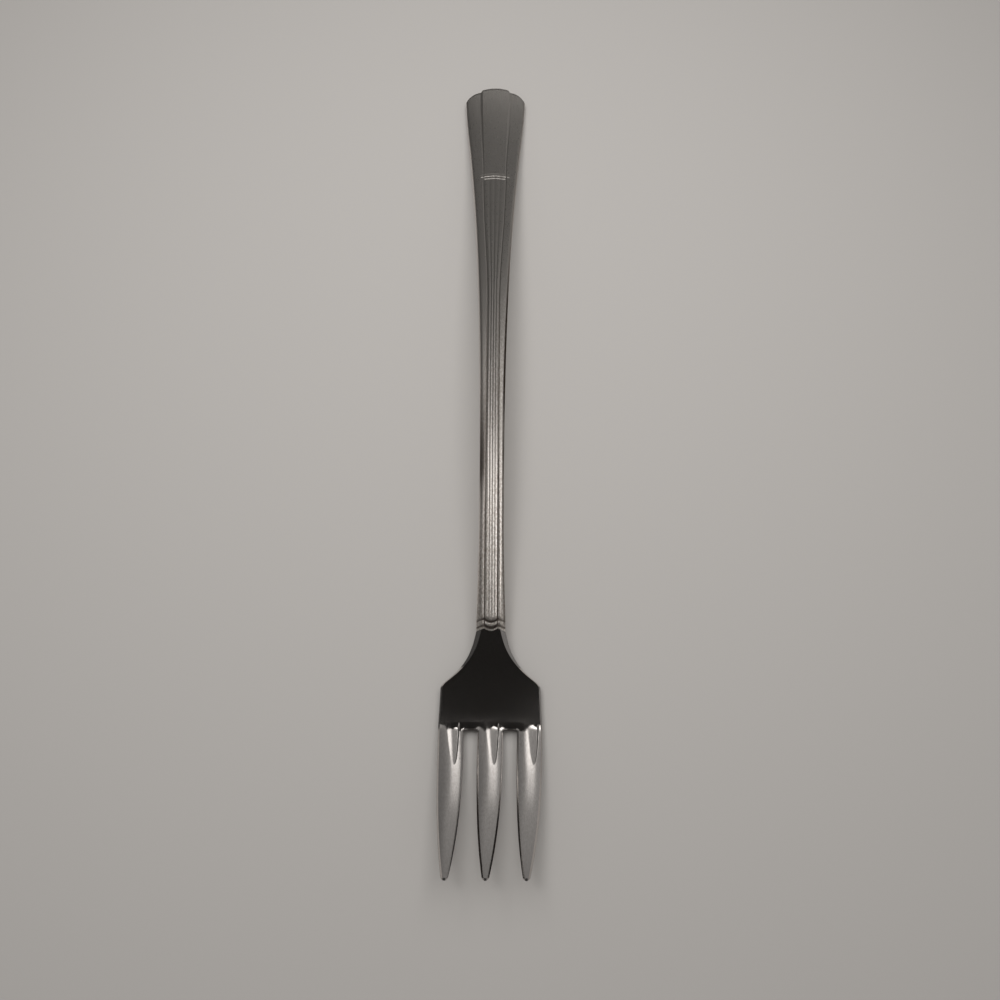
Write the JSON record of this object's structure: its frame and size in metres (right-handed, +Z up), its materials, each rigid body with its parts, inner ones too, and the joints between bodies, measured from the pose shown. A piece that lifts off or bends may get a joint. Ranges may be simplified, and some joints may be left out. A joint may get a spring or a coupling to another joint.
{
  "type": "oyster fork",
  "caption": "Small oyster fork stamped from steel strip, with pointed tines, a mirror-polished head, a grooved collar and a reeded handle ending in a lobed fan.",
  "frame": {"origin": "on the table plane, under the middle of the fork's bounding box", "axes": "+Z up from the table through the decorated side, +Y along the fork from the tines towards the fan end, +X across"},
  "size_m": [0.016, 0.146, 0.0093],
  "materials": {
    "satin_steel": "satin",
    "polished_steel": "polished"
  },
  "bodies": {
    "root": {"fan": "satin_steel", "cross_bars": "satin_steel", "shank": "satin_steel", "collar": "satin_steel", "head": "polished_steel", "left_tine": "polished_steel", "middle_tine": "polished_steel", "right_tine": "polished_steel"}
  },
  "joints": []
}
